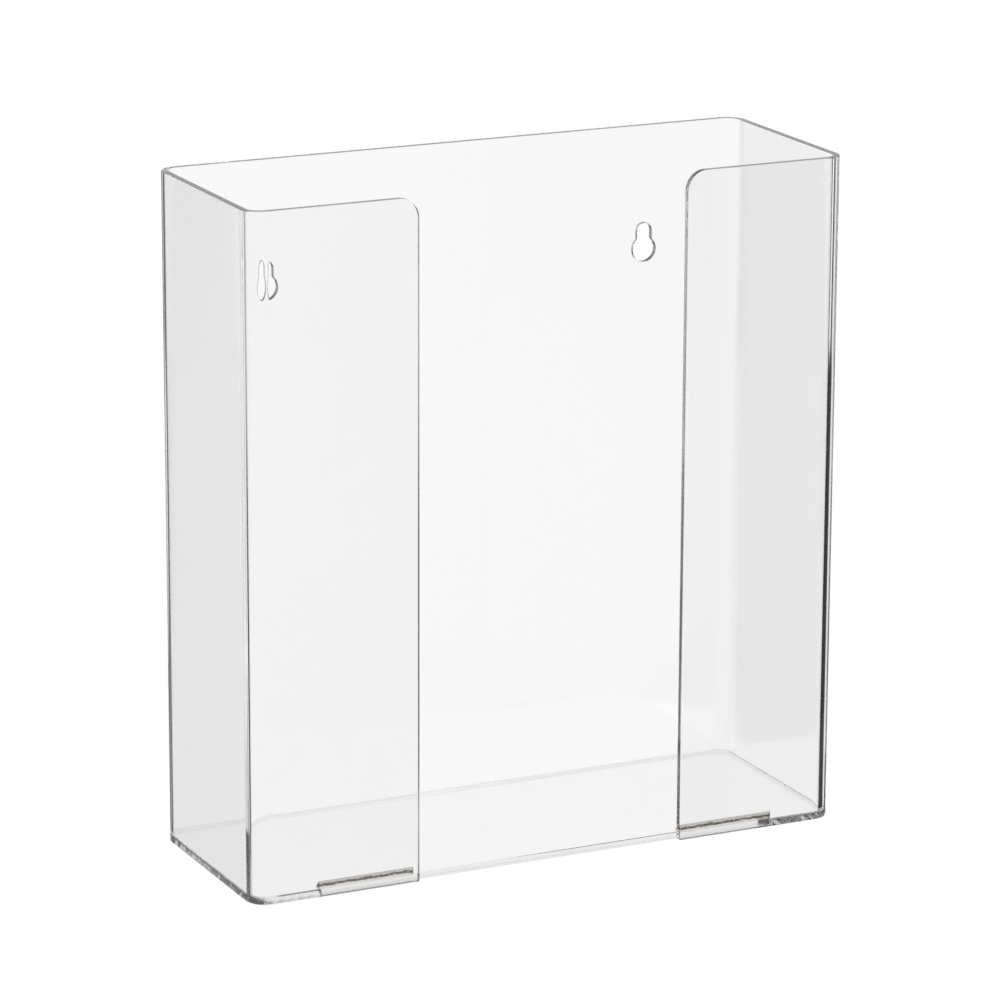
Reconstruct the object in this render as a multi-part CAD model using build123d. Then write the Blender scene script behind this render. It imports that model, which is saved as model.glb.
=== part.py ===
from build123d import *
import os

# A clear acrylic dispenser that holds two boxes of disposable gloves, one above the other.
# One sheet is heat-bent four times into a back, two sides and two front flanges, and stands on a
# flat base plate. The foot of each flange drops in front of the plate, where a corner strip backs it.
# Millimetres. X runs across the front, Y from the front to the wall behind, Z up from the table.
# The origin is the middle of the footprint, on the underside of the base plate.

# Overall sizes, outside.
width = 254.0              # across the two side walls
depth = 92.0               # from the front of the flanges to the back wall's rear face
height = 272.0             # from the table to the open rim

# The bent sheet.
sheet = 2.8                # thickness of the sheet that is bent
bend_radius = 5.5          # inside radius of the four bends
flange_width = 70.0        # from a side wall's outer face to its flange's free edge
flange_corner = 8.0        # radius of each flange's upper free corner
edge_round = 0.35          # how much flame polishing rounds the cut edges

# The base plate.
plate_thickness = 2.8
plate_overhang = 0.3       # how far it stands proud of each side wall; it is flush in front and behind
plate_round = 0.25         # how much flame polishing rounds its upper edge in front and at the sides

# The foot of each flange, which drops in front of the plate.
foot_inset = 28.0          # from the side wall's outer face to the foot's outer end
foot_clearance = 0.2       # between the foot's outer end and the step in the plate
foot_corner = 0.8          # radius of the foot's lower free corner

# The strips in the inside corners behind the feet.
strip_leg = 3.4            # each of the two glued faces of the triangular strip
right_strip_setback = 1.3  # from the flange's free edge to the strip's end; the strips are set by hand
left_strip_setback = 2.05

# The two keyholes in the back wall: a screw's head goes in below and its shank slides up.
keyhole_spacing = 166.9    # between their centre lines
keyhole_offset = 1.05      # how far the middle between them lies to the right of the wall's middle
keyhole_height = 220.9     # from the table to the centre of the round part
keyhole_head = 10.3        # diameter of the round part
keyhole_slot = 6.6         # width of the slot above it
keyhole_rise = 7.5         # from the centre of the round part to the centre of the slot's end

# Places worked out from the sizes above.
rear_y = depth / 2
front_y = -depth / 2
flange_back_y = front_y + sheet
side_x = width / 2
free_edge_x = side_x - flange_width
foot_end_x = side_x - foot_inset
outer_bend = bend_radius + sheet


def mirrored(solid):
    """The same solid on the other side of the middle plane."""
    return mirror(solid, about=Plane.YZ)


def bent_section():
    """The sheet's plan: its outer line, thickened inwards by one sheet."""
    outer_line = FilletPolyline(
        (-free_edge_x, front_y),
        (-side_x, front_y),
        (-side_x, rear_y),
        (side_x, rear_y),
        (side_x, front_y),
        (free_edge_x, front_y),
        radius=outer_bend,
    )
    return make_face(offset(outer_line, amount=sheet, side=Side.RIGHT, closed=True).edges())


def front_block(x_from, x_to, z_from, z_to):
    """A block that spans the flange's thickness, with room to cut right through it."""
    size_x = x_to - x_from
    size_z = z_to - z_from
    block = Box(size_x, 3 * sheet, size_z)
    return Pos((x_from + x_to) / 2, front_y + sheet / 2, (z_from + z_to) / 2) * block


def keyhole(centre_x):
    """One keyhole as a solid that passes through the back wall, upright, at its place."""
    drawing_plane = Plane(origin=(centre_x, rear_y, keyhole_height), x_dir=(-1, 0, 0), z_dir=(0, 1, 0))
    head = Circle(keyhole_head / 2)
    slot = Pos(0, keyhole_rise / 2) * Rectangle(keyhole_slot, keyhole_rise)
    slot_end = Pos(0, keyhole_rise) * Circle(keyhole_slot / 2)
    return extrude(drawing_plane * (head + slot + slot_end), amount=2 * sheet, both=True)


def free_edge_corners(body):
    """The edges across the sheet at the flanges' free edges, grouped from the lowest pair to the highest."""
    across = body.edges().filter_by(Axis.Y)
    return across.filter_by(lambda edge: abs(abs(edge.center().X) - free_edge_x) < sheet / 10).group_by(Axis.Z)


def wrap():
    """The bent sheet, cut back below to stand on the plate everywhere but at the two feet."""
    body = extrude(bent_section(), amount=height)
    below_plate_top = Pos(0, 0, plate_thickness / 2) * Box(2 * width, 2 * depth, plate_thickness)
    feet = front_block(free_edge_x, foot_end_x, 0, plate_thickness)
    feet += mirrored(feet)
    body -= below_plate_top - feet
    body -= keyhole(keyhole_offset + keyhole_spacing / 2)
    body -= keyhole(keyhole_offset - keyhole_spacing / 2)
    corners = free_edge_corners(body)
    body = fillet(corners[-1], flange_corner)
    corners = free_edge_corners(body)
    body = fillet(corners[0], foot_corner)
    rim = body.faces().sort_by(Axis.Z)[-1]
    return fillet(rim.edges(), edge_round)


def base_plate():
    """A flat plate with rounded corners, cut back by one sheet where the feet pass in front of it.

    Its upper edge is rounded along the front and the sides. The rear edge stays square under the wall."""
    plate_width = width + 2 * plate_overhang
    plate_corner = outer_bend + plate_overhang
    plate = extrude(Rectangle(plate_width, depth), amount=plate_thickness)
    front_corners = plate.edges().filter_by(Axis.Z).group_by(Axis.Y)[0]
    plate = fillet(front_corners, plate_corner)
    upper_edges = plate.faces().sort_by(Axis.Z)[-1].edges().sort_by(Axis.Y)
    plate = fillet(upper_edges[:-1], plate_round)
    outline = RectangleRounded(plate_width, depth, plate_corner)
    plate &= extrude(outline, amount=plate_thickness)
    recess_half = foot_end_x + foot_clearance
    recess = front_block(-recess_half, recess_half, -plate_thickness, 2 * plate_thickness)
    recess = recess & (Pos(0, flange_back_y - depth / 2, 0) * Box(width, depth, depth))
    return plate - recess


def corner_strip(setback):
    """The right-hand strip: a triangular rod glued to the flange's back face and the plate's top."""
    length = flange_width - foot_inset - setback
    section = Polygon((0, 0), (strip_leg, 0), (0, strip_leg), align=None)
    start = Plane(origin=(free_edge_x + setback, flange_back_y, plate_thickness), x_dir=(0, 1, 0), z_dir=(1, 0, 0))
    return extrude(start * section, amount=length)


pieces = {
    "wrap": wrap(),
    "base_plate": base_plate(),
    "right_corner_strip": corner_strip(right_strip_setback),
    "left_corner_strip": mirrored(corner_strip(left_strip_setback)),
}

os.makedirs("parts", exist_ok=True)
for name, solid in pieces.items():
    export_step(solid, f"parts/{name}.step")
    print(f"{name}: {solid.volume / 1000:.1f} cm3")
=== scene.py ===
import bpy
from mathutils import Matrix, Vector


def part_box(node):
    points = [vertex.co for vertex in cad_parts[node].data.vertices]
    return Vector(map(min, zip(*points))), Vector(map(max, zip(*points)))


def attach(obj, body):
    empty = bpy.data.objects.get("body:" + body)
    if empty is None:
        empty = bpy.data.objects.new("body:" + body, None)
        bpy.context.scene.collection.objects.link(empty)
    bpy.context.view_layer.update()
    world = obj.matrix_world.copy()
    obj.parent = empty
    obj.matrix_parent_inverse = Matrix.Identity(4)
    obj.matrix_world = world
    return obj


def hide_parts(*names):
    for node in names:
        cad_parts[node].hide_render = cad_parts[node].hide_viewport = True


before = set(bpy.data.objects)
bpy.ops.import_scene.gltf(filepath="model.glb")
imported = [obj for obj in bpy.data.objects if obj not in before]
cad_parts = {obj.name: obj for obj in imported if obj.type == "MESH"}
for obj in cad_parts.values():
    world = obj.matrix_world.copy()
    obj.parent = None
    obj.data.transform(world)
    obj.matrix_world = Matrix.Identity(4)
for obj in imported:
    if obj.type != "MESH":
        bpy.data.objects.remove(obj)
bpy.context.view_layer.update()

import math

import bpy
import numpy as np
from mathutils import Matrix, Vector

# ---------------------------------------------------------------------------------------------
# The studio: a pale table that runs on behind as a sweep, and a dim room around it, both glowing.
# Clear sheet shows its edges only where they bend the eye away from the bright table, so the
# room and all that is seen by way of a reflection stay darker than the table. Straight on the table is evenly
# white; what a reflection or led light shows of it and of the room is painted light and painted shade.
# ---------------------------------------------------------------------------------------------


class Maths:
    """A number socket that can be written in sums: each operator adds its Math node."""

    def __init__(self, nodes, socket):
        self.nodes, self.socket = nodes, socket

    def _with(self, operation, other, swap=False):
        pair = (other, self) if swap else (self, other)
        return self.nodes.add("ShaderNodeMath", {"operation": operation}, pair)

    def __add__(self, other):
        return self._with("ADD", other)

    def __sub__(self, other):
        return self._with("SUBTRACT", other)

    def __rsub__(self, other):
        return self._with("SUBTRACT", other, swap=True)

    def __mul__(self, other):
        return self._with("MULTIPLY", other)

    def __truediv__(self, other):
        return self._with("DIVIDE", other)

    def __pow__(self, other):
        return self._with("POWER", other)

    def __gt__(self, other):
        return self._with("GREATER_THAN", other)

    def __lt__(self, other):
        return self._with("LESS_THAN", other)

    def __abs__(self):
        return self.nodes.add("ShaderNodeMath", {"operation": "ABSOLUTE"}, [self])

    __radd__ = __add__
    __rmul__ = __mul__


class Nodes:
    """The node tree of one material or of the world."""

    def __init__(self, owner):
        owner.use_nodes = True
        self.tree = owner.node_tree
        self.tree.nodes.clear()

    def put(self, kind, settings=None, sockets=None):
        """Adds a node: its settings first, then the values or links of its sockets, by name or number."""
        node = self.tree.nodes.new(kind)
        for name, value in (settings or {}).items():
            setattr(node, name, value)
        pairs = sockets.items() if isinstance(sockets, dict) else enumerate(sockets or ())
        for key, value in pairs:
            socket = node.inputs[key]
            value = value.socket if isinstance(value, Maths) else value
            if isinstance(value, bpy.types.NodeSocket):
                self.tree.links.new(value, socket)
            else:
                socket.default_value = value
        return node

    def add(self, kind, settings=None, sockets=None, output=0):
        """As put, and gives the node's output as a value for sums."""
        return Maths(self, self.put(kind, settings, sockets).outputs[output])

    def rise(self, value, low, high, start=0.0, stop=1.0):
        """A smooth rise from start to stop as the value goes from low to high."""
        span = {"Value": value, "From Min": low, "From Max": high, "To Min": start, "To Max": stop}
        return self.add("ShaderNodeMapRange", {"interpolation_type": "SMOOTHSTEP"}, span)


# How bright the table and the room glow: straight on, by way of a reflection, and by light that was
# led along inside the sheet. 1 is white. Straight on the table is evenly white; the tones seen by way of a
# reflection, by led light or through an edge alone are painted light and painted shade.
table_tone = 1.0                      # the table straight on
mirrored_tone = 0.34                  # what a reflection shows of it in the middle
mirrored_fall = 0.9                   # how much darker that gets to the right, a metre
mirrored_least, mirrored_most = 0.10, 0.45
under_tone = 0.64                     # the table under the plate
led_under_tone = 0.12                 # and as led light shows it
front_tone = 0.02                     # the unlit table on the right
behind_tone = 0.95                    # the lit table behind
left_far_tone = 0.5                   # the table far behind on the left, between the mirrored lanes
led_front_tone = 0.05                 # the table close in front, as led light shows it
led_behind_tone = 0.85                # close behind
led_beside_tone = 0.95                # close on the right
led_left_tone = 1.15                  # and far behind on the left
backdrop_tone = 0.84                  # the lit wall behind
backdrop_led_tone = 0.11              # and as led light shows it
ahead_tone = 0.90                     # but for led light that goes straight ahead
edge_tone = 0.45                      # the wall seen through an edge alone
room_tone = 0.05                      # the rest of the room
led_from = 2.5                        # light with more reflections than this counts as led

# Where the painted light and the painted shade on the table lie, as reflections show it: bearings
# from the right front corner or the left one, in degrees from straight behind to the right.
shade_reach = 0.78                    # metres from the corner at which the far parts begin
near_lit_part = (-8.0, 46.0, 8.0)     # first bearing, last bearing, and how soft their ends are
near_shade_part = (57.0, 137.0, 8.0)
far_lit_parts = ((30.0, 50.0, 1.0), (50.0, 62.0, 0.4), (74.5, 90.5, 1.0))    # and how much each is lit
far_shade_parts = ((62.0, 74.5), (90.5, 140.0))
aside_part = (-50.0, 6.0, 6.0)
lane_parts = ((22.3, -0.127, 0.0185), (29.0, 0.124, 0.025))    # turn to the left, start, half a width
lane_soft = 0.002                     # how soft a lane's sides are
reach_soft = 0.06                     # how soft the line is where the far parts begin

table_reach = 60.0                    # metres from the middle to the table's edge
table_gap = 0.0002                    # how far the part's underside stays clear of the table
backdrop_turn = math.radians(25.753)  # which way the lit wall lies, to the right of straight behind
led_bounces = 160                     # how often led light is followed

bpy.ops.mesh.primitive_plane_add(size=2 * table_reach)
table = bpy.context.object
table.name = "table_top"
# The table's material: an even white glow straight on, and painted light and painted shade by way of a
# reflection.
table_paint = bpy.data.materials.new("table_glow_painted_light_and_shade")
paint = Nodes(table_paint)
depth_count = Maths(paint, paint.put("ShaderNodeLightPath").outputs["Glossy Depth"])
spot = paint.put("ShaderNodeNewGeometry").outputs["Position"]
place = paint.put("ShaderNodeSeparateXYZ", None, [spot])
east, north = Maths(paint, place.outputs[0]), Maths(paint, place.outputs[1])


def bearing_and_reach(east_from, north_from):
    """The table's point seen from a place: its direction, in degrees from behind to the right, and how
    far it is."""
    a, b = east - east_from, north - north_from
    turn = paint.add("ShaderNodeMath", {"operation": "ARCTAN2"}, [a, b])
    return turn * (180 / math.pi), (a * a + b * b) ** 0.5


def sector(turn, first, last, soft=2.0):
    """1 between two bearings, or two other bounds, and 0 outside them."""
    entered = paint.rise(turn, first - soft / 2, first + soft / 2)
    return entered * paint.rise(turn, last - soft / 2, last + soft / 2, 1.0, 0.0)


def towards(tone, share, other):
    """The tone, moved by a share of the way to the other one."""
    return tone + share * (other - tone)


# Painted reflection: what is seen by way of one or two reflections is painted darker to the right, with
# painted light on the table behind and painted shade on the right.
right_turn, right_reach = bearing_and_reach(0.125, -0.040)
left_turn, left_reach = bearing_and_reach(-0.127, -0.036)
beyond = paint.rise(right_reach, shade_reach - reach_soft, shade_reach + reach_soft)
fall = mirrored_tone - mirrored_fall * (east + 0.5 * north)
mirrored = paint.add("ShaderNodeClamp", None, {"Value": fall, "Min": mirrored_least, "Max": mirrored_most})
far_lit = sum(share * sector(right_turn, first, last) for first, last, share in far_lit_parts)
far_shade = sum(sector(right_turn, first, last) for first, last in far_shade_parts)
lit_part = towards(sector(right_turn, *near_lit_part), beyond, far_lit)
mirrored = towards(mirrored, lit_part, behind_tone)
shade_part = towards(sector(right_turn, *near_shade_part), beyond, far_shade)
mirrored = towards(mirrored, shade_part, front_tone)
# On the left the side walls mirror two narrow lanes of it. Beside the lanes only the bends look there, and
# there the table is painted dark close by and lighter further off.
lanes = 0
for lane_turn, lane_start, half_lane in lane_parts:
    lane_turn = math.radians(lane_turn)
    across = (east - lane_start) * math.cos(lane_turn) + north * math.sin(lane_turn)
    lanes = lanes + sector(across, -half_lane, half_lane, lane_soft)
aside = sector(left_turn, *aside_part) * (1 - lanes) * paint.rise(left_reach, 0.02, 0.06)
left_far = paint.rise(left_reach, 0.45, 0.95, 0.0, left_far_tone)
left_far = left_far * paint.rise(left_turn, -18.0, -14.0, 1.0, 0.0)
mirrored = towards(mirrored, aside, left_far)

# What led light shows, painted light and painted shade: the lit table behind, best on the left, dark in
# front, and painted in soft patches of light and shade on the right.
patchy_glow = paint.add("ShaderNodeTexNoise", None, {"Vector": spot, "Scale": 4.0, "Detail": 1.0})
far = (east * east + north * north) ** 0.5
led_right = paint.rise(north, -0.3, 0.2, 0.06, 0.45) * (0.6 + 0.8 * patchy_glow)
behind_left = paint.rise(north, 0.0, 0.2) * paint.rise(east, -0.05, 0.10, 1.0, 0.0)
led_far = towards(led_right, behind_left, led_left_tone)
beside = paint.rise(east, 0.125, 0.130) * paint.rise(north, -0.05, -0.04)
led_close = towards(led_front_tone, paint.rise(north, 0.044, 0.052), led_behind_tone)
led_close = towards(led_close, beside, led_beside_tone)
gathered = towards(led_far, paint.rise(far, 0.16, 0.24, 1.0, 0.0), led_close)
led = depth_count > led_from
mirrored = towards(mirrored, led, gathered)
# Painted shade under the plate, as reflections and led light show the table there.
beneath = paint.rise(abs(east), 0.126, 0.129, 1.0, 0.0) * paint.rise(abs(north), 0.046, 0.049, 1.0, 0.0)
mirrored = towards(mirrored, beneath, towards(under_tone, led, led_under_tone))
# Straight on the table glows evenly white; by way of a reflection it glows with the painted tones above.
strength = table_tone * towards(1.0, depth_count > 0.5, mirrored)
glow = paint.put("ShaderNodeEmission", None, {"Color": (1, 1, 1, 1), "Strength": strength})
paint.put("ShaderNodeOutputMaterial", None, {"Surface": glow.outputs[0]})
table.data.materials.append(table_paint)
table.location.z = -table_gap

# The room glows with painted tones too: its lit wall behind is painted at one brightness seen through an edge
# alone, brighter by way of a reflection, and dark for led light but for light that goes straight ahead.
world = bpy.data.worlds.new("studio_room")
bpy.context.scene.world = world
room = Nodes(world)
outlook = room.put("ShaderNodeTexCoord").outputs["Generated"]
behind = (math.sin(backdrop_turn), math.cos(backdrop_turn), 0.0)
facing = room.add("ShaderNodeVectorMath", {"operation": "DOT_PRODUCT"}, [outlook, behind], output="Value")
room_depth = Maths(room, room.put("ShaderNodeLightPath").outputs["Glossy Depth"])
outlook_up = Maths(room, room.put("ShaderNodeSeparateXYZ", None, [outlook]).outputs[2])
outlook_level = (1.0001 - outlook_up * outlook_up) ** 0.5
ahead = room.rise(facing / outlook_level, 0.970, 0.982) * (outlook_up < 0.8)
led_wall = towards(backdrop_led_tone, ahead, ahead_tone)
wall = towards(towards(edge_tone, room_depth > 0.5, backdrop_tone), room_depth > led_from, led_wall)
lit = towards(room_tone, room.rise(facing, 0.15, 0.6), wall)
air = room.put("ShaderNodeBackground", None, {"Color": (1, 1, 1, 1), "Strength": lit})
room.put("ShaderNodeOutputWorld", None, {"Surface": air.outputs[0]})

scene = bpy.context.scene
scene.view_settings.view_transform = "Standard"
scene.cycles.max_bounces = led_bounces
scene.cycles.transmission_bounces = led_bounces
scene.cycles.glossy_bounces = led_bounces

# The camera stands to the left of the front, a little above the rim, with a long lens.
lens_mm, sensor_mm = 180.65, 36.0
view_turn, view_tilt, view_roll = map(math.radians, (25.753, 15.368, 0.239))
view_distance = 1.9819
aim = Vector((-0.00084, 0.00006, 0.13617))
forward = Vector((math.sin(view_turn), math.cos(view_turn), -math.tan(view_tilt))).normalized()
level = Vector((math.cos(view_turn), -math.sin(view_turn), 0))
upward = level.cross(forward)
right = math.cos(view_roll) * level + math.sin(view_roll) * upward
above = math.cos(view_roll) * upward - math.sin(view_roll) * level
camera_data = bpy.data.cameras.new("camera")
camera_data.lens, camera_data.sensor_width = lens_mm, sensor_mm
camera_data.clip_end = 200
camera = bpy.data.objects.new("camera", camera_data)
stand = Matrix.Translation(aim - view_distance * forward)
camera.matrix_world = stand @ Matrix((right, above, -forward)).transposed().to_4x4()
scene.collection.objects.link(camera)
scene.camera = camera

# ---------------------------------------------------------------------------------------------
# The wrap: one sheet of clear acrylic, laser-cut flat and heat-bent four times over a hot wire
# into the back, the two sides and the two front flanges. Its cut edges are flame-polished.
# ---------------------------------------------------------------------------------------------
wrap_low, wrap_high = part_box("wrap")
plate_low, plate_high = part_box("base_plate")

sheet = 0.0028                         # thickness
inside_bend = 0.0055                   # inside radius of the bends
flange_width = 0.070                   # side wall's outer face to free edge
flange_corner = 0.008                  # radius of the flange's upper free corner
foot_inset = 0.028                     # side wall's outer face to the foot's outer end
foot_corner = 0.0008                   # radius of the foot's lower free corner
polish_round = 0.00035                 # how far the flame rounds the cut edges
weld_bite = 0.00002                    # how far welded faces run into each other, to read as one
seam_round = 0.00003                   # the nearly square edges that stand on the plate
refraction = 1.491                     # index of acrylic
cast_wave = 0.000001                   # how high the slow waves of cast sheet stand
sheet_tints = ((0.989, 0.989, 0.988, 1), (0.986, 0.986, 0.985, 1))    # where it is clearest and cloudiest

width = wrap_high.x - wrap_low.x
depth = wrap_high.y - wrap_low.y
plate_top = plate_high.z
on_plate = plate_top - weld_bite + seam_round    # the lowest row of the net over the plate
rim = wrap_high.z
outer_bend = inside_bend + sheet
middle_bend = inside_bend + sheet / 2
quarter = math.pi / 2
fine = 0.0004                          # the narrow cells beside a fold or a cut
tiny = 1e-6                            # less than any real distance between two points


def bent_line(start, heading, lengths, turns):
    """A plan line of straight and round spans. Each span's chord is its length times sinc of half
    its turn, laid at the span's middle heading. Gives point and heading at any distances along it."""
    lengths, turns = np.array(lengths, float), np.array(turns, float)
    ends = np.concatenate([[0], np.cumsum(lengths)])
    headings = heading + np.concatenate([[0], np.cumsum(turns)])

    def step(length, first_heading, turn):
        middle = first_heading + turn / 2
        chord = length * np.sinc(turn / 2 / np.pi)
        return np.stack([chord * np.cos(middle), chord * np.sin(middle)], -1)

    points = np.array(start) + np.concatenate([[[0, 0]], np.cumsum(step(lengths, headings[:-1], turns), 0)])

    def at(distance):
        span = np.clip(np.searchsorted(ends, distance, side="right") - 1, 0, len(lengths) - 1)
        run = distance - ends[span]
        turned = turns[span] * run / lengths[span]
        return points[span] + step(run, headings[span], turned), headings[span] + turned

    at.ends = ends
    return at


flat_flange = flange_width - outer_bend
flat_side = depth - 2 * outer_bend
flat_back = width - 2 * outer_bend
bend = middle_bend * quarter
# The sheet's middle line in plan, from the left flange's free edge round to the right one's.
wrap_line = bent_line(
    (wrap_low.x + flange_width, wrap_low.y + sheet / 2), math.pi,
    [flat_flange, bend, flat_side, bend, flat_back, bend, flat_side, bend, flat_flange],
    [0, -quarter] * 4 + [0],
)
wrap_length = wrap_line.ends[-1]

# The keyholes: a round part below and a slot above it. Each lies in a window of the net, which
# reaches as far up and down as is said here and is laid out anew around the hole.
keyhole_places = (-0.0824, 0.0845)      # across, from the middle
keyhole_height = 0.2209
keyhole_head = 0.00515                  # radius of the round part
keyhole_slot = 0.0033                   # half the slot's width
keyhole_rise = 0.0075                   # from the round part's centre to the centre of the slot's end
window_top = 0.016
window_below = 0.010
slot_meets_head = math.asin(keyhole_slot / keyhole_head)
window_half = window_top * math.tan(slot_meets_head)


def keyhole_reach(angle):
    """How far the keyhole's outline is from the head's centre: the head's circle, then the slot's
    straight side, then its round end, by the angle from straight up."""
    head, slot = keyhole_head + polish_round, keyhole_slot + polish_round
    lean = np.abs(angle)
    side = slot / np.maximum(np.sin(lean), 1e-9)
    inside = np.maximum(slot**2 - (keyhole_rise * np.sin(lean)) ** 2, 0)
    end = keyhole_rise * np.cos(lean) + np.sqrt(inside)
    upper = np.where(lean < math.atan2(slot, keyhole_rise), end, side)
    return np.where(lean < math.asin(slot / head), np.maximum(upper, head), head)


def net_columns(foot_end):
    """Distances along the sheet: they close up at the free corners, where the foot ends, round the
    bends and over the keyholes. The second half mirrors the first."""
    ends = wrap_line.ends
    free_corner = polish_round + (flange_corner - polish_round) * (1 - np.cos(np.linspace(0, quarter, 21)))
    foot_tip = polish_round + (foot_corner - polish_round) * (1 - np.cos(np.linspace(0, quarter, 5)))
    half = [free_corner, foot_tip, [foot_end - fine, foot_end, flat_flange - fine]]
    half += [np.linspace(ends[1], ends[2], 29), [ends[2] + fine, ends[3] - fine]]
    half += [np.linspace(ends[3], ends[4], 29), [ends[4] + fine]]
    slot_lean = math.atan2(keyhole_slot, keyhole_rise)
    leans = np.concatenate([np.linspace(0, slot_lean, 9), np.linspace(slot_lean, slot_meets_head, 7)[1:]])
    reach = window_top * np.tan(leans)
    for across in keyhole_places:
        hole = wrap_length / 2 - abs(across)
        half.append(np.concatenate([hole - reach[::-1], hole + reach[1:]]))
    half = np.unique(np.round(np.concatenate(half), 7))
    return np.concatenate([half, [wrap_length / 2], wrap_length - half[::-1]])


def net_rows(low, high, bend_row):
    """Heights: they close up at the foot's lower corner, beside the keyholes and below the rim."""
    side_rows = window_half / np.tan(np.linspace(slot_meets_head, quarter, 10))
    rows = np.concatenate([
        np.linspace(low, on_plate, 5), [on_plate + fine],
        keyhole_height + np.linspace(-window_below, 0, 10), keyhole_height + side_rows,
        [bend_row], np.linspace(bend_row, high, 12),
    ])
    return np.unique(np.round(rows, 7))


def wrap_net():
    """The flat net's grid of cells, by distance along the sheet and height. Its rows follow the rounded
    free corners, and round each keyhole rings of cells lead from the window's border to the hole."""
    foot_end = flange_width - foot_inset - polish_round
    low, high = wrap_low.z + polish_round, rim - polish_round
    bend_row = rim - 0.020
    middle = wrap_length / 2
    columns, rows = net_columns(foot_end), net_rows(low, high, bend_row)

    def corner_fall(radius):
        """How far a rounded corner draws each column down, or up."""
        inner = np.clip(radius - np.minimum(columns, wrap_length - columns), 0, radius - polish_round)
        return (radius - polish_round) - np.sqrt((radius - polish_round) ** 2 - inner**2)

    upper = np.clip((rows - bend_row) / (high - bend_row), 0, 1)
    lower = np.clip((on_plate - rows) / (on_plate - low), 0, 1)
    s = np.repeat(columns[:, None], len(rows), 1)
    z = rows - corner_fall(flange_corner)[:, None] * upper + corner_fall(foot_corner)[:, None] * lower

    column_middle = (columns[1:] + columns[:-1]) / 2
    row_middle = (rows[1:] + rows[:-1]) / 2
    from_edge = np.minimum(column_middle, wrap_length - column_middle)
    keep = (row_middle[None, :] > on_plate - tiny) | (from_edge[:, None] < foot_end)
    from_hole = np.min([np.abs(column_middle - middle - across) for across in keyhole_places], 0)
    from_head = row_middle - keyhole_height
    beside_hole = (from_head > -window_below) & (from_head < window_top)
    keep &= ~((from_hole < window_half)[:, None] & beside_hole[None, :])
    number = np.arange(s.size).reshape(s.shape)
    corners = np.stack([number[:-1, :-1], number[1:, :-1], number[1:, 1:], number[:-1, 1:]], -1)
    points, cells = [np.stack([s.ravel(), z.ravel()], -1)], [corners[keep]]
    for across in keyhole_places:
        hole = middle + across
        c = np.flatnonzero(np.abs(columns - hole) < window_half + tiny)
        from_head = rows - keyhole_height
        r = np.flatnonzero((from_head > -window_below - tiny) & (from_head < window_top + tiny))
        loop = np.concatenate([
            number[c[:-1], r[0]], number[c[-1], r[:-1]], number[c[:0:-1], r[-1]], number[c[0], r[:0:-1]],
        ])
        border = points[0][loop] - (hole, keyhole_height)
        angle = np.arctan2(border[:, 0], border[:, 1])
        outline = keyhole_reach(angle)[:, None] * np.stack([np.sin(angle), np.cos(angle)], -1)
        share = np.linspace(0, 1, 6)[1:, None, None]
        rings = border * (1 - share) + outline * share + (hole, keyhole_height)
        start = sum(len(p) for p in points)
        ring_number = start + np.arange(len(share) * len(loop)).reshape(len(share), -1)
        ring_number = np.vstack([loop, ring_number])
        after = np.roll(ring_number, -1, 1)
        cells.append(np.stack([ring_number[:-1], after[:-1], after[1:], ring_number[1:]], -1).reshape(-1, 4))
        points.append(rings.reshape(-1, 2))
    return np.vstack(points), np.vstack(cells)


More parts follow.
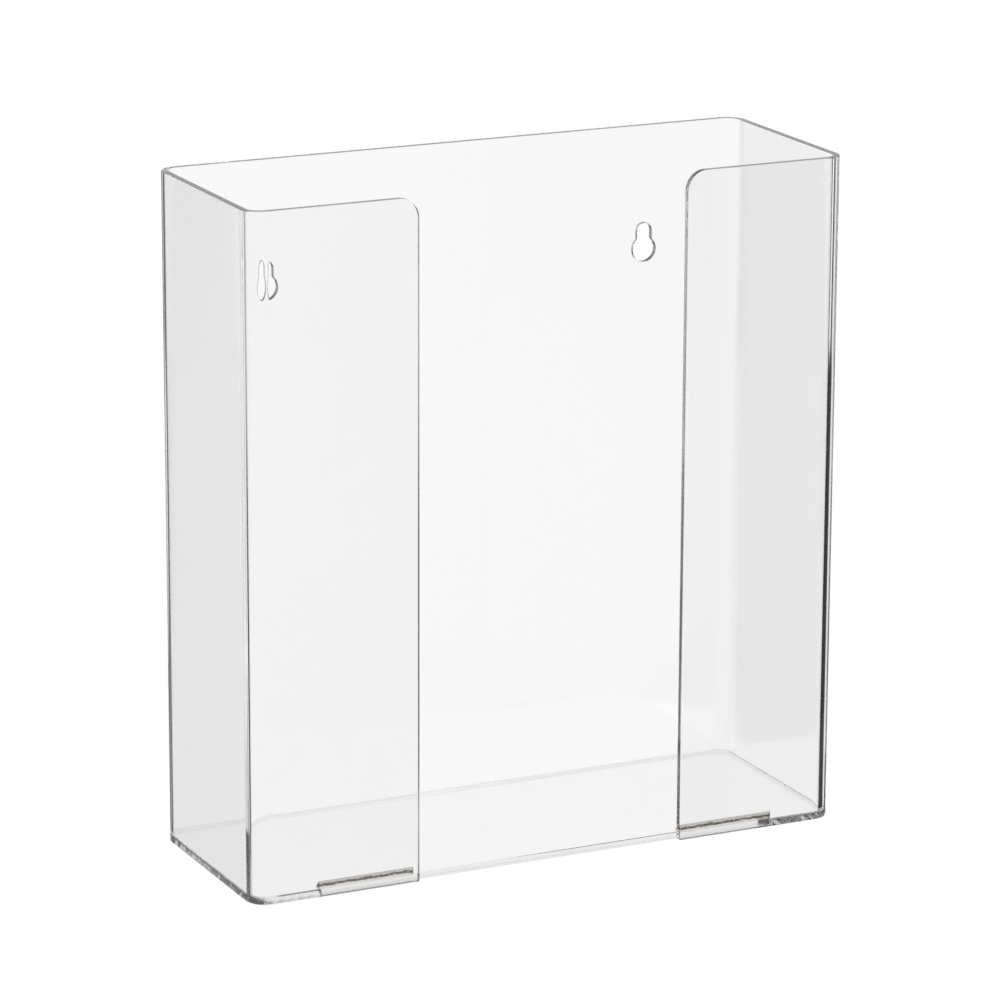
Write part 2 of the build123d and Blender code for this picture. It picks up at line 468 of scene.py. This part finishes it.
def sheet_solid(points, cells, line, thickness, rounding):
    """A bent sheet from its net. Each point (s, z) goes to the line's point at s, at height z, and
    half a thickness to each side. Round the net's border runs a band of two quarter circles
    with a flat between them: offset r sin(a), drop r (1 - cos(a)), for a from 0 to 90 degrees."""
    used = np.unique(cells)
    renumber = np.zeros(len(points), int)
    renumber[used] = np.arange(len(used))
    points, cells, rounding = points[used], renumber[cells], rounding[used]

    # A cell's side that no other cell runs along the other way lies on the net's border.
    starts, stops = cells.ravel(), np.roll(cells, -1, 1).ravel()
    count = len(points)
    key, reverse = starts * count + stops, stops * count + starts
    border = ~np.isin(key, reverse)
    starts, stops = starts[border], stops[border]
    run = points[stops] - points[starts]
    out = np.stack([run[:, 1], -run[:, 0]], -1) / np.linalg.norm(run, axis=1)[:, None]
    total = np.zeros_like(points)
    np.add.at(total, starts, out)
    np.add.at(total, stops, out)
    edge_points = np.unique(starts)
    outward = total[edge_points] / np.linalg.norm(total[edge_points], axis=1)[:, None]
    first_out = np.zeros_like(points)
    first_out[starts] = out
    mitre = 1 / np.maximum((outward * first_out[edge_points]).sum(1), 0.5)
    rank = np.zeros(count, int)
    rank[edge_points] = np.arange(len(edge_points))

    angles = np.linspace(0, quarter, 5)[1:]
    rounding = rounding[edge_points]
    rings = [(math.sin(a), thickness / 2 - rounding * (1 - math.cos(a)), math.cos(a)) for a in angles]
    rings += [(sine, -away, -facing) for sine, away, facing in rings[::-1]]

    def layer(flat, away, facing, sine=0.0, sideways=(0.0, 0.0)):
        """Net points laid at a distance from the sheet's middle, and their normals."""
        at, heading = line(flat[:, 0])
        ahead = np.stack([np.cos(heading), np.sin(heading)], -1)
        normal = np.stack([-ahead[:, 1], ahead[:, 0]], -1)
        sideways = sine * np.broadcast_to(sideways, flat.shape)
        laid = np.column_stack([at + normal * np.reshape(away, (-1, 1)), flat[:, 1]])
        return laid, np.column_stack([normal * facing + ahead * sideways[:, :1], sideways[:, 1]])

    parts = [layer(points, thickness / 2, 1.0), layer(points, -thickness / 2, -1.0)]
    for sine, away, facing in rings:
        moved = points[edge_points] + outward * (rounding * sine * mitre)[:, None]
        parts.append(layer(moved, away, facing, sine, outward))
    faces = [cells[:, ::-1], cells + count]
    first = 2 * count + np.arange(len(rings)) * len(edge_points)
    near = [starts] + [f + rank[starts] for f in first] + [starts + count]
    next_to = [stops] + [f + rank[stops] for f in first] + [stops + count]
    for k in range(len(near) - 1):
        faces.append(np.stack([near[k], next_to[k], next_to[k + 1], near[k + 1]], -1))
    places, normals = zip(*parts)
    return np.vstack(places), np.vstack(normals), np.vstack(faces).tolist()


def make_piece(name, vertices, normals, faces, material):
    """Puts a surface with its own exact normals into the scene, riding on the part."""
    mesh = bpy.data.meshes.new(name)
    mesh.from_pydata(vertices.tolist(), [], faces)
    mesh.validate()
    mesh.polygons.foreach_set("use_smooth", np.ones(len(mesh.polygons), bool))
    mesh.normals_split_custom_set_from_vertices(normals.tolist())
    mesh.materials.append(material)
    piece = bpy.data.objects.new(name, mesh)
    scene.collection.objects.link(piece)
    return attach(piece, "root")


mix_from, mix_to, mixed_colour = 6, 7, 2    # the colour sockets of a Mix node: two inputs, one output


def clear_glass(nodes, tint, deeper):
    """Cast acrylic: clear, with a faint cloudy tint, a few wiped smears and hair scratches, and the slow
    waves of a sheet cast between plates."""
    own = nodes.put("ShaderNodeTexCoord").outputs["Object"]
    cloud = nodes.add("ShaderNodeTexNoise", None, {"Vector": own, "Scale": 11.0, "Detail": 2.0})
    stretched = nodes.put("ShaderNodeMapping", None, {"Vector": own, "Scale": (60.0, 60.0, 900.0)}).outputs[0]
    hair = nodes.add("ShaderNodeTexNoise", None, {"Vector": stretched, "Scale": 1.0, "Detail": 1.0})
    cloudy = {"Factor": nodes.rise(cloud, 0.3, 0.7), mix_from: tint, mix_to: deeper}
    colour = nodes.put("ShaderNodeMix", {"data_type": "RGBA"}, cloudy)
    smeared = nodes.rise(cloud, 0.62, 0.72, 0.0, 0.02) + nodes.rise(hair, 0.74, 0.78, 0.0, 0.03)
    waves = nodes.put("ShaderNodeMapping", None, {"Vector": own, "Scale": (90.0, 90.0, 22.0)}).outputs[0]
    swell = nodes.add("ShaderNodeTexNoise", None, {"Vector": waves, "Scale": 1.0, "Detail": 1.0})
    relief = nodes.put("ShaderNodeBump", None, {"Strength": 1.0, "Distance": cast_wave, "Height": swell})
    return nodes.put("ShaderNodeBsdfPrincipled", None, {
        "Base Color": colour.outputs[mixed_colour], "Roughness": smeared, "Normal": relief.outputs[0],
        "IOR": refraction, "Transmission Weight": 1.0})


wrap_clear = bpy.data.materials.new("clear_sheet")
nodes = Nodes(wrap_clear)
glass = clear_glass(nodes, *sheet_tints)
nodes.put("ShaderNodeOutputMaterial", None, {"Surface": glass.outputs[0]})
wrap_points, wrap_cells = wrap_net()
from_free_edge = np.minimum(wrap_points[:, 0], wrap_length - wrap_points[:, 0])
welded = np.abs(wrap_points[:, 1] - on_plate) < tiny
welded &= from_free_edge > flange_width - foot_inset - polish_round - tiny
rounding = np.where(welded, seam_round, polish_round)
wrap = make_piece("bent_sheet", *sheet_solid(wrap_points, wrap_cells, wrap_line, sheet, rounding), wrap_clear)
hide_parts("wrap")

# ---------------------------------------------------------------------------------------------
# The base plate: a rectangle of the same sheet with rounded corners, cemented under the walls.
# Its edge is sawn and then flame-polished, which rounds it over and leaves slanting ripples.
# ---------------------------------------------------------------------------------------------
plate_arris = 0.00028                  # how far the flame rounds the edges in front
side_arris = 0.00055                   # and at the sides
glued_arris = 0.00004                  # and where the feet and the back wall are cemented to it
ripple_depth = 0.00020                 # of the saw's waves, at most
corner_chamfer = 0.00006               # at the sharp corners of the steps
corner_clear = 0.0011                  # no column stands nearer to a sharp corner than this
column_pitch = 0.00045                 # between two columns of the edge, at most
foot_clearance = 0.0002                # between a foot's outer end and the step beside it
flat_rows = 8                          # of the edge's flat part
frost_depth = 0.0006                   # how far in from its outline the edge is frosted
plate_tints = ((0.986, 0.987, 0.986, 1), (0.983, 0.984, 0.983, 1))

plate_front, plate_rear = plate_low.y, plate_high.y
plate_side = plate_high.x
recess_front = wrap_low.y + sheet - weld_bite
recess_side = wrap_high.x - foot_inset + foot_clearance
plate_corner = outer_bend + plate_side - wrap_high.x


def plate_outline():
    """The plate's outline from the middle of the gap, to the right and round: for each column its
    place, its outward normal, and its mitre, along which a whole offset goes inwards."""

    def straight(start, stop, normal, first=None, last=None):
        """A straight span. Where it meets a sharp corner, its end has the corner's mitre."""
        start, stop = np.array(start), np.array(stop)
        length = np.linalg.norm(stop - start)
        count = max(2, int(np.ceil(length / column_pitch)))
        share = np.linspace(0, 1, count)[:, None]
        distance = share[:, 0] * length
        normals = np.repeat(np.array([normal], float), count, 0)
        mitres = -normals
        keep = np.ones(count, bool)
        if first is not None:
            mitres[0] = first
            keep &= (distance > corner_clear) | (distance == 0)
        if last is not None:
            mitres[-1] = last
            keep &= (distance < distance[-1] - corner_clear) | (distance == distance[-1])
        return (start + share * (stop - start))[keep], normals[keep], mitres[keep]

    def corner(centre, first_angle):
        """A quarter of a circle, without its ends."""
        angles = first_angle + np.linspace(0, quarter, 34)[1:-1]
        normals = np.stack([np.cos(angles), np.sin(angles)], -1)
        return np.array(centre) + plate_corner * normals, normals, -normals

    c, r = corner_chamfer, plate_corner
    step_rear, step_front = (recess_side, recess_front - c), (recess_side, plate_front + c)
    spans = [
        straight((0, recess_front), (recess_side - c, recess_front), (0, -1), last=(1, 1)),
        straight(step_rear, step_front, (-1, 0), first=(1, 1), last=(1, 1)),
        straight((recess_side + c, plate_front), (plate_side - r, plate_front), (0, -1), first=(1, 1)),
        corner((plate_side - r, plate_front + r), -quarter),
        straight((plate_side, plate_front + r), (plate_side, plate_rear - r), (1, 0)),
        corner((plate_side - r, plate_rear - r), 0),
        straight((plate_side - r, plate_rear), (0, plate_rear), (0, 1)),
    ]
    half = [np.vstack(part) for part in zip(*spans)]
    other = [part[-2:0:-1] * (-1, 1) for part in half]
    return [np.vstack(pair) for pair in zip(half, other)]


def saw_waves(along, up, depth, seed):
    """The waves a saw leaves, about 0 to depth deep: a sum of slanting straight-sided ridges of falling
    length, each 2 |t - floor(t) - 1/2| - 1/2 with t = (along + lean up) / length + start."""
    chance = np.random.default_rng(seed)
    total = np.zeros(np.broadcast(along, up).shape)
    for length, share in ((0.017, 0.5), (0.0083, 0.6), (0.0041, 0.6), (0.0021, 0.3)):
        lean = chance.uniform(-1.6, 1.6)
        start = chance.uniform(0, 2 * math.pi)
        wave = (along + lean * up) / length + start
        total += share * (2 * np.abs(wave - np.floor(wave) - 0.5) - 0.5)
    return depth * (0.5 + 0.5 * total)


def plate_solid():
    """The plate: over its outline a profile of an upper quarter round, a flat and a lower quarter
    round, with the saw's waves pressed into it, closed above and below by flat faces."""
    places, normals, mitres = plate_outline()
    ahead = np.roll(places, -1, 0) - places
    along = np.concatenate([[0], np.cumsum(np.linalg.norm(ahead, axis=1))[:-1]])
    x, y = places.T
    aside = np.abs(x)
    # Waved where it is proud of the feet, out to the back wall, and calmer left of the left foot.
    proud = np.clip((aside - recess_side) / 0.002, 0, 1) * np.clip((plate_rear - y) / 0.006, 0, 1)
    calm = np.clip(-x / 0.02, 0, 1) * np.clip(-(y + 0.040) / 0.002, 0, 1)
    at_side = np.clip((aside - plate_side + 0.0025) / 0.002, 0, 1)
    under_foot = (aside > wrap_high.x - flange_width) & (y < recess_front + corner_chamfer)
    under_foot &= aside < recess_side + corner_chamfer
    free = plate_arris + (side_arris - plate_arris) * at_side
    upper = np.where(y > plate_rear - 0.0001, glued_arris, free * (1 - 0.85 * calm))
    upper = np.where(under_foot, glued_arris, upper)[:, None]
    lower = np.where(under_foot, glued_arris, free)[:, None]
    turn = np.linspace(0, quarter, 9)
    flat = np.zeros((len(places), flat_rows))
    inset = np.hstack([upper * (1 - np.sin(turn)), flat, lower * (1 - np.cos(turn[1:]))])
    top = plate_high.z - upper * (1 - np.cos(turn))
    middle = top[:, -1:] + (lower - top[:, -1:]) * np.linspace(0, 1, flat_rows + 2)[1:-1]
    bottom = lower * (1 - np.sin(turn[1:]))
    height = np.hstack([top, middle, bottom])
    row = np.concatenate([np.sin(turn), np.ones(flat_rows), np.cos(turn[1:])])
    rippled = proud * (1 - 0.8 * calm)
    inset = inset + saw_waves(along[:, None], height, ripple_depth, 7) * row * rippled[:, None]
    plan = places[:, None, :] + mitres[:, None, :] * inset[:, :, None]
    points = np.concatenate([plan, height[:, :, None]], -1)
    across = np.gradient(inset, axis=1)
    fall = np.gradient(height, axis=1)
    forward = np.gradient(inset, axis=0) / np.maximum(np.gradient(along), 1e-5)[:, None]
    tangent = np.stack([-normals[:, 1], normals[:, 0]], -1)
    slope = np.maximum(np.hypot(across, fall), 1e-12)
    side = -fall / slope
    level = normals[:, None, :] * side[:, :, None] + tangent[:, None, :] * (forward * side)[:, :, None]
    facing = np.concatenate([level, -(across / slope)[:, :, None]], -1)
    facing /= np.linalg.norm(facing, axis=-1, keepdims=True)
    return points, facing


plate_points, plate_facing = plate_solid()
column_count, row_count = plate_points.shape[:2]
number = np.arange(column_count * row_count).reshape(column_count, row_count)
after = np.roll(number, -1, 0)
band = np.stack([number[:, :-1], number[:, 1:], after[:, 1:], after[:, :-1]], -1).reshape(-1, 4)
lid = np.vstack([plate_points[:, 0], plate_points[:, -1]])
lid_facing = np.repeat([[0, 0, 1], [0, 0, -1]], column_count, 0)
lid_number = number.size + np.arange(2 * column_count).reshape(2, column_count)
faces = band.tolist() + [lid_number[0].tolist(), lid_number[1][::-1].tolist()]

# The saw's chatter, which the flame didn't reach, stands in slanting frosted streaks on the edge.
plate_clear = bpy.data.materials.new("clear_plate")
nodes = Nodes(plate_clear)
glass = clear_glass(nodes, *plate_tints)
own = nodes.put("ShaderNodeTexCoord").outputs["Object"]
place = nodes.put("ShaderNodeSeparateXYZ", None, [own])
east, north, up = (Maths(nodes, place.outputs[k]) for k in range(3))
on_side = abs(east) > plate_side - frost_depth
on_front = (north < plate_front + frost_depth) * (east > recess_side)
streak = nodes.put("ShaderNodeCombineXYZ", None, [(east + north + 0.9 * up) * 330.0, up * 140.0, 0.0])
streak = streak.outputs[0]
frost = nodes.add("ShaderNodeTexNoise", None, {"Vector": streak, "Scale": 1.0, "Detail": 1.0})
flat_part = nodes.rise(up, 0.0002, 0.0005) * nodes.rise(up, plate_top - 0.0005, plate_top - 0.0002, 1.0, 0.0)
frosted = nodes.rise(frost, 0.56, 0.61) * (1 - (1 - on_side) * (1 - on_front)) * flat_part
chalk = nodes.put("ShaderNodeBsdfPrincipled", None, {"Base Color": (0.97, 0.97, 0.96, 1), "Roughness": 0.5})
mixed = nodes.put("ShaderNodeMixShader", None, {"Fac": frosted, 1: glass.outputs[0], 2: chalk.outputs[0]})
nodes.put("ShaderNodeOutputMaterial", None, {"Surface": mixed.outputs[0]})
plate_vertices = np.vstack([plate_points.reshape(-1, 3), lid])
plate_normals = np.vstack([plate_facing.reshape(-1, 3), lid_facing])
plate = make_piece("plate", plate_vertices, plate_normals, faces, plate_clear)
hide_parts("base_plate")

# ---------------------------------------------------------------------------------------------
# The corner strips: a three-cornered rod of acrylic cemented behind each foot, to the flange's
# back and the plate's top. Their colour is tinted faintly warm, with a dark brown wavy line over the plate.
# ---------------------------------------------------------------------------------------------
strip_round = 0.00015                  # radius of the rod's three corners
strip_sway = 0.00012                   # how far its slanting face wavers
stations = 90                          # sections along the rod
dark_line_height = 0.0015                  # of the dark brown wavy line over the plate
dark_line_sway = 0.0018                    # how far that line wavers, at most
warm_below, warm_above = (0.985, 0.945, 0.91, 1), (0.955, 0.935, 0.90, 1)    # below and above the line
dark_line_brown = (0.030, 0.021, 0.014, 1)

strip_clear = bpy.data.materials.new("clear_strip")
nodes = Nodes(strip_clear)
own = nodes.put("ShaderNodeTexCoord").outputs["Object"]
place = nodes.put("ShaderNodeSeparateXYZ", None, [own])
along, up = Maths(nodes, place.outputs[0]), Maths(nodes, place.outputs[2])
along_only = nodes.put("ShaderNodeCombineXYZ", None, {"X": along}).outputs[0]
sway = nodes.add("ShaderNodeTexNoise", None, {"Vector": along_only, "Scale": 260.0, "Detail": 3.0}) - 0.5
swell = nodes.add("ShaderNodeTexNoise", None, {"Vector": along_only, "Scale": 120.0, "Detail": 2.0}) - 0.5
off_dark_line = up - (plate_top + dark_line_height) - dark_line_sway * sway
dark_line = nodes.rise(abs(off_dark_line) - 0.0010 * swell, 0.00035, 0.00070, 1.0, 0.0)
grain = nodes.add("ShaderNodeTexNoise", None, {"Vector": own, "Scale": 900.0, "Detail": 3.0})
dark_line = dark_line * nodes.rise(grain, 0.30, 0.55, 0.65, 1.0)
warm_tint = nodes.put("ShaderNodeMix", {"data_type": "RGBA"}, {
    "Factor": nodes.rise(off_dark_line, -0.0006, 0.0002), mix_from: warm_below, mix_to: warm_above})
tint = nodes.put("ShaderNodeMix", {"data_type": "RGBA"}, {
    "Factor": dark_line, mix_from: warm_tint.outputs[mixed_colour], mix_to: dark_line_brown})
shader = nodes.put("ShaderNodeBsdfPrincipled", None, {
    "Base Color": tint.outputs[mixed_colour], "Roughness": nodes.rise(grain, 0.5, 0.8, 0.0, 0.03),
    "IOR": refraction, "Transmission Weight": 1.0})
nodes.put("ShaderNodeOutputMaterial", None, {"Surface": shader.outputs[0]})


def strip_solid(low, high, seed):
    """A three-cornered rod along X with small rounds at its corners: its section's points, each with
    its normal, are carried from end to end, and flat faces close the ends."""
    leg = high.y - low.y
    corner_places = np.array([[0, 0], [leg, 0], [0, leg]])
    side_normals = np.array([[0, -1], [math.sqrt(0.5), math.sqrt(0.5)], [-1, 0]])
    section, facing = [], []
    for k in range(3):
        a, b = side_normals[k - 1], side_normals[k]
        inward = -(a + b) / (1 + a @ b)
        first, last = math.atan2(a[1], a[0]), math.atan2(b[1], b[0])
        if last < first:
            last += 2 * math.pi
        turn = np.linspace(first, last, 6)
        arc = np.stack([np.cos(turn), np.sin(turn)], -1)
        section.append(corner_places[k] + strip_round * (inward + arc))
        facing.append(arc)
    section, facing = np.vstack(section), np.vstack(facing)
    x = np.linspace(low.x, high.x, stations)
    count = len(section)
    sway = saw_waves(x, 0 * x, strip_sway, seed)
    grid = np.zeros((len(x), count, 3))
    grid[:, :, 0] = x[:, None]
    grid[:, :, 1] = low.y - weld_bite + section[:, 0]
    grid[:, :, 2] = low.z - weld_bite + section[:, 1]
    slant = np.clip(section.sum(1) / leg, 0, 1)
    grid[:, :, 1:] -= (sway[:, None] * slant[None, :])[:, :, None] * math.sqrt(0.5)
    normal = np.zeros_like(grid)
    normal[:, :, 1:] = facing
    number = np.arange(len(x) * count).reshape(len(x), count)
    after = np.roll(number, -1, 1)
    sides = np.stack([number[:-1], number[1:], after[1:], after[:-1]], -1).reshape(-1, 4)[:, ::-1]
    ends = np.vstack([grid[0], grid[-1]])
    end_number = number.size + np.arange(2 * count).reshape(2, count)
    end_normal = np.repeat([[-1, 0, 0], [1, 0, 0]], count, 0)
    faces = sides.tolist() + [end_number[0][::-1].tolist(), end_number[1].tolist()]
    return np.vstack([grid.reshape(-1, 3), ends]), np.vstack([normal.reshape(-1, 3), end_normal]), faces


for side, seed in (("left", 3), ("right", 11)):
    low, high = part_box(side + "_corner_strip")
    strip = make_piece(side + "_strip", *strip_solid(low, high, seed), strip_clear)
    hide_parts(side + "_corner_strip")
